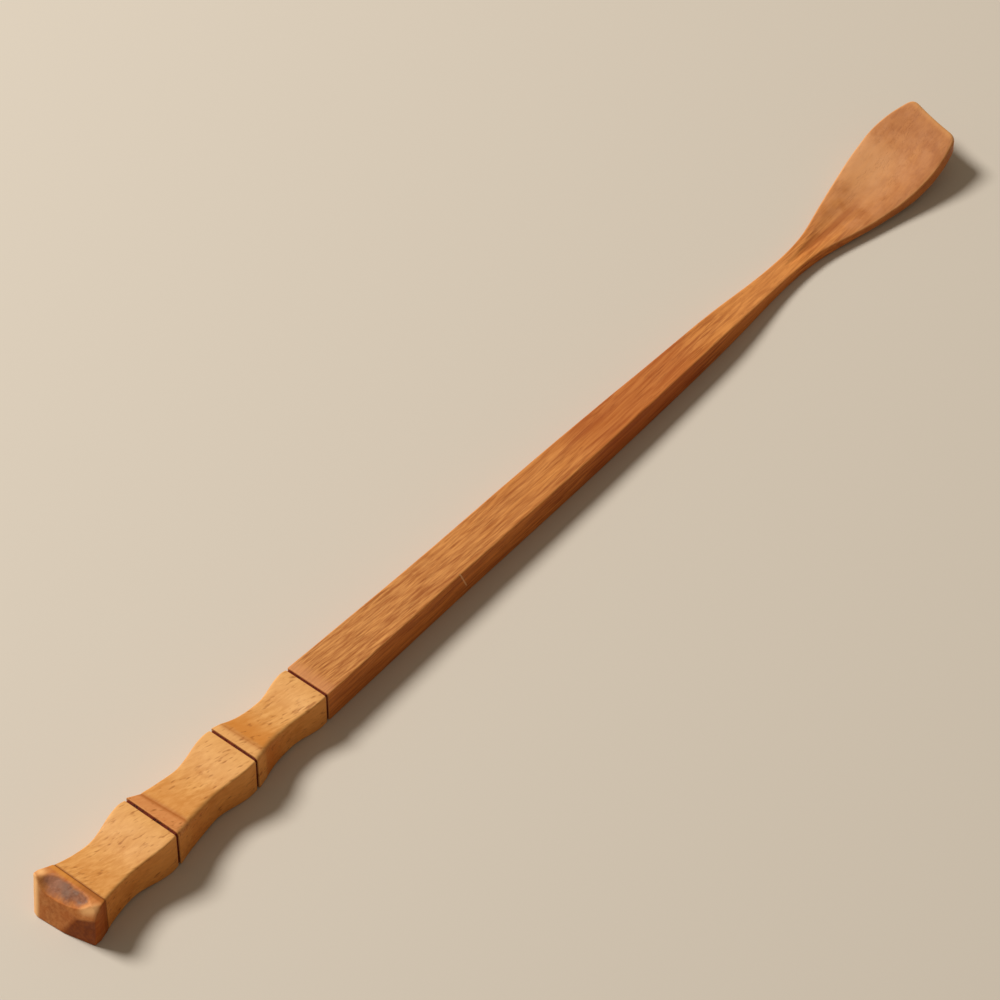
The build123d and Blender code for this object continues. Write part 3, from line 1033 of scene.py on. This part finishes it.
def make_stem_and_blade():
    far, tip, near = blade_outline()
    rows, columns = rows_of_stem, columns_of_blade
    far_points, far_out = evenly(far, rows + 1)
    tip_points, tip_out = evenly(tip, columns + 1)
    near_points, near_out = evenly(near, rows + 1)
    rim = np.vstack([far_points, tip_points[1:], near_points[1:]])
    out = np.vstack([far_out, tip_out[1:], near_out[1:]])
    towards_tip = np.clip((rim[:, 0] - tip_arris_start) / tip_arris_stretch, 0, 1) ** 1.5
    top_arris = side_arris + (tip_arris - side_arris) * towards_tip
    points, faces, edge_values = [], [], []

    def keep(flat, heights, edge=0):
        first = len(points)
        points.extend(np.column_stack([flat, heights]).tolist())
        edge_values.extend([edge] * len(flat))
        return np.arange(first, first + len(flat))

    def sheet(inset, height_at):
        """A face inside the rim, row by row from the foot to the tip, and its border."""
        edge = rim - out * inset
        far_edge, near_edge = edge[:rows + 1], edge[rows + columns:][::-1]
        tip_edge = edge[rows:rows + columns + 1]
        share = np.linspace(0, 1, columns + 1)[:, None]
        straight = far_edge[-1] * (1 - share) + near_edge[-1] * share
        grid = np.zeros((rows + 1, columns + 1, 2))
        for row in range(rows + 1):
            pull = max(0, 1 - (rows - row) / rows_by_tip) ** 2
            grid[row] = far_edge[row] * (1 - share) + near_edge[row] * share + (tip_edge - straight) * pull
        flat = grid.reshape(-1, 2)
        grid = keep(flat, height_at(flat[:, 0], flat[:, 1])).reshape(rows + 1, columns + 1)
        return grid, np.concatenate([grid[:, 0], grid[-1, 1:], grid[:-1, -1][::-1]])

    top, top_edge = sheet(top_arris[:, None], top_height)
    under, under_edge = sheet(side_arris, under_height)
    for grid, order in ((top, (0, 1, 2, 3)), (under, (0, 3, 2, 1))):
        for row in range(rows):
            for column in range(columns):
                square = (grid[row, column], grid[row, column + 1])
                square += (grid[row + 1, column + 1], grid[row + 1, column])
                faces.append([square[k] for k in order])

    # The rim goes over the upper arris, down the edge and round the lower arris
    heights = np.array(points)[:, 2]
    high, low = heights[top_edge], heights[under_edge]
    belts = [top_edge]
    for step in range(1, arris_steps + 1):
        turn = math.pi / 2 * step / arris_steps
        flat = rim - out * (top_arris * (1 - math.sin(turn)))[:, None]
        belts.append(keep(flat, high - top_arris * (1 - math.cos(turn)), math.sin(2 * turn)))
    for step in range(1, edge_steps):
        share = step / edge_steps
        belts.append(keep(rim, (high - top_arris) * (1 - share) + (low + side_arris) * share))
    for step in range(arris_steps):
        turn = math.pi / 2 * step / arris_steps
        flat = rim - out * (side_arris * (1 - math.cos(turn)))
        belts.append(keep(flat, low + side_arris * (1 - math.sin(turn)), math.sin(2 * turn)))
    belts.append(under_edge)
    for first, second in zip(belts, belts[1:]):
        for k in range(len(rim) - 1):
            faces.append((first[k], first[k + 1], second[k + 1], second[k]))

    # The foot: an eased edge, a flat end and the bore
    ring = [belt[0] for belt in belts] + list(under[0, 1:]) + [belt[-1] for belt in belts[::-1]][1:]
    ring += list(top[0, ::-1][1:-1])
    outer = np.array(points)[ring]
    centre = np.array((0, 0, outer[:, 2].mean()))
    half = np.abs(outer - centre).max(axis=0)
    rings = [ring]
    for step in range(1, foot_steps + 1):
        turn = math.pi / 2 * step / foot_steps
        shrunk = 1 - foot_rounding * (1 - math.cos(turn)) / half[1:]
        eased = outer.copy()
        eased[:, 1:] = centre[1:] + (outer[:, 1:] - centre[1:]) * shrunk
        eased[:, 0] = outer[:, 0] - foot_rounding * math.sin(turn)
        rings.append(keep(eased[:, :2], eased[:, 2], 1 if step < foot_steps else 0))
    angles = np.arctan2(outer[:, 2] - dowel_height, outer[:, 1])
    for station in (stem_foot, stem_foot + stem_bore_depth):
        round_y, round_z = bore_radius * np.cos(angles), dowel_height + bore_radius * np.sin(angles)
        rings.append(keep(np.column_stack([np.full(len(ring), station), round_y]), round_z))
    bore_end = keep(np.array([[stem_foot + stem_bore_depth, 0]]), np.array([dowel_height]))[0]
    for k in range(len(ring)):
        after = (k + 1) % len(ring)
        for first, second in zip(rings, rings[1:]):
            faces.append((first[k], first[after], second[after], second[k]))
        faces.append((rings[-1][k], rings[-1][after], bore_end))
    faces = [[int(corner) for corner in face] for face in faces]
    return new_piece("stem_and_blade_wood", points, faces, edge=edge_values)


def make_stem_wood():
    material, shader, place, figure = new_wood("stem_wood", stem_grain, gloss=0.2)
    wear = worn(place, patchiness=0.5)
    x, y, z = parts_of(place)
    side = abs(parts_of(made(place.tree, "ShaderNodeTexCoord", output="Normal"))[1])

    def station(from_butt):
        return (from_butt + butt_x) * mm

    def between(starts, stops=None):
        """Sets in between two stations, and fades out between two others."""
        mask = ranged(x, station(starts[0]), station(starts[1]))
        return mask if stops is None else mask * between(stops)

    # Short flecks by the handle, on top more than on the sides
    flecks = grained(place, fleck_grain)
    masks = {"pores": flecks["Pores"], "foot": between(foot_fades)}
    flecked = layered(blended(flecks["Streaks"], *fleck_streaks), fleck_tints, masks)
    masks = {"bands": figure["Bands"], "pores": figure["Pores"]}
    wood = layered(blended(figure["Streaks"], *stem_streaks), stem_tints, masks)
    wood = blended(between(flecks_fade) * ranged(side, 0.9, 0.5, 0.25, 0.8), wood, flecked)
    # Edge wear, which also paints a highlight along the arrises
    masks = {"wear": wear, "redder": between(redder_starts, redder_stops)}
    masks["paler"] = between(paler_starts, paler_stops)
    wood = layered(wood, stem_tints, masks)

    on_blade = between(blade_starts)
    # Painted sheen where the blade curls
    curl_sheen = between(curl_starts, curl_stops) * ranged(y, -3.5 * mm, 1.5 * mm)
    duller = between(dull_tip_starts).by("MAXIMUM", ranged(y, -1.5 * mm, -4.5 * mm))
    blotches = ranged(cloud_on(place, scale=480.0, detail=3.0), 0.35, 0.65)
    masks = {"blotches": blotches, "curl_sheen": curl_sheen, "duller": duller, "streaks": figure["Streaks"]}
    blade = layered(blended(figure["Mottle"], *blade_mottle), blade_tints, masks)
    wood = blended(on_blade * blade_share, wood, blade)

    # Painted highlight on the blade's edges and along the tip; painted shade in the channel and on the sides
    masks = {"tip": ranged(x - y * tip_slant, *map(station, tip_highlight_starts)), "rim": wear * on_blade}
    masks["channel"] = ranged(abs(y), 0.9 * mm, 0.1 * mm) * between(channel_starts, channel_stops)
    wood = side_shaded(layered(wood, stem_tints, masks), share=0.85)

    # Pale nick across the near side, leaning towards the tip as it goes down
    off_nick = abs(x - station(nick_top[0]) + (z - nick_top[1] * mm) * nick_lean)
    nick = ranged(off_nick, 0.17 * mm, 0.05 * mm) * ranged(y, -2.9 * mm, -3.05 * mm)
    nick = nick * ranged(z, 1.2 * mm, 1.8 * mm)
    wood = layered(wood, stem_tints, {"nick": nick})
    dullness = 0.5 + figure["Mottle"] * 0.12 - wear * 0.08
    finished(shader, wood, dullness, figure["Relief"] - nick, depth=0.04)
    return material


stem = make_stem_and_blade()
softly_shaded(stem, stem_crease_angle)
stem.data.materials.append(make_stem_wood())
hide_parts("blade_and_stem")
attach(stem, "root")


# Where it is shown
# The scoop lies on a plain pale table top under one large soft lamp from the far side, with a little
# light from all round. The camera looks down along the handle from the near side of the butt.

view_height = 48.35
view_turn = 50.30
view_distance = 0.6129
view_target = Vector(((88.8 + butt_x) * mm, 3.81 * mm, 0))
lens_length = 166.9
floor_half_size = 2
floor_colour = (208, 200, 187)
floor_dullness = 0.7
lamp_way = (-0.2, 0.9, 1.0)
lamp_distance = 1.2
lamp_size = 0.42
lamp_power = 15.6
lamp_tint = (1.0, 0.96, 0.91)
room_tint = (1.0, 0.84, 0.64, 1)
room_strength = 0.22

corners = [(x * floor_half_size, y * floor_half_size, 0) for x, y in ((-1, -1), (1, -1), (1, 1), (-1, 1))]
floor_mesh = bpy.data.meshes.new("table_top")
floor_mesh.from_pydata(corners, [], [(0, 1, 2, 3)])
floor = in_scene("table_top", floor_mesh)
paint = bpy.data.materials.new("table_paint")
paint.use_nodes = True
paint_shader = paint.node_tree.nodes["Principled BSDF"]
paint_shader.inputs["Base Color"].default_value = colour(*floor_colour)
paint_shader.inputs["Roughness"].default_value = floor_dullness
floor_mesh.materials.append(paint)

light = bpy.data.lights.new("window_light", "AREA")
light.shape = "DISK"
light.size = lamp_size
light.energy = lamp_power
light.color = lamp_tint
lamp = in_scene("window_light", light)
lamp.location = Vector(lamp_way).normalized() * lamp_distance
lamp.rotation_euler = Vector(lamp_way).to_track_quat("Z", "Y").to_euler()
world = bpy.data.worlds.new("room")
world.use_nodes = True
world.node_tree.nodes["Background"].inputs["Color"].default_value = room_tint
world.node_tree.nodes["Background"].inputs["Strength"].default_value = room_strength
bpy.context.scene.world = world
bpy.context.scene.view_settings.view_transform = "Standard"

camera = bpy.data.cameras.new("camera")
camera.lens = lens_length
camera.sensor_width = 36
camera.sensor_fit = "HORIZONTAL"
camera.clip_start = 0.01
camera_holder = in_scene("camera", camera)
tilt, turn = math.radians(view_height), math.radians(view_turn)
looking = Vector((math.cos(tilt) * math.sin(turn), math.cos(tilt) * math.cos(turn), -math.sin(tilt)))
camera_holder.location = view_target - looking * view_distance
camera_holder.rotation_euler = (math.pi / 2 - tilt, 0, -turn)
bpy.context.scene.camera = camera_holder
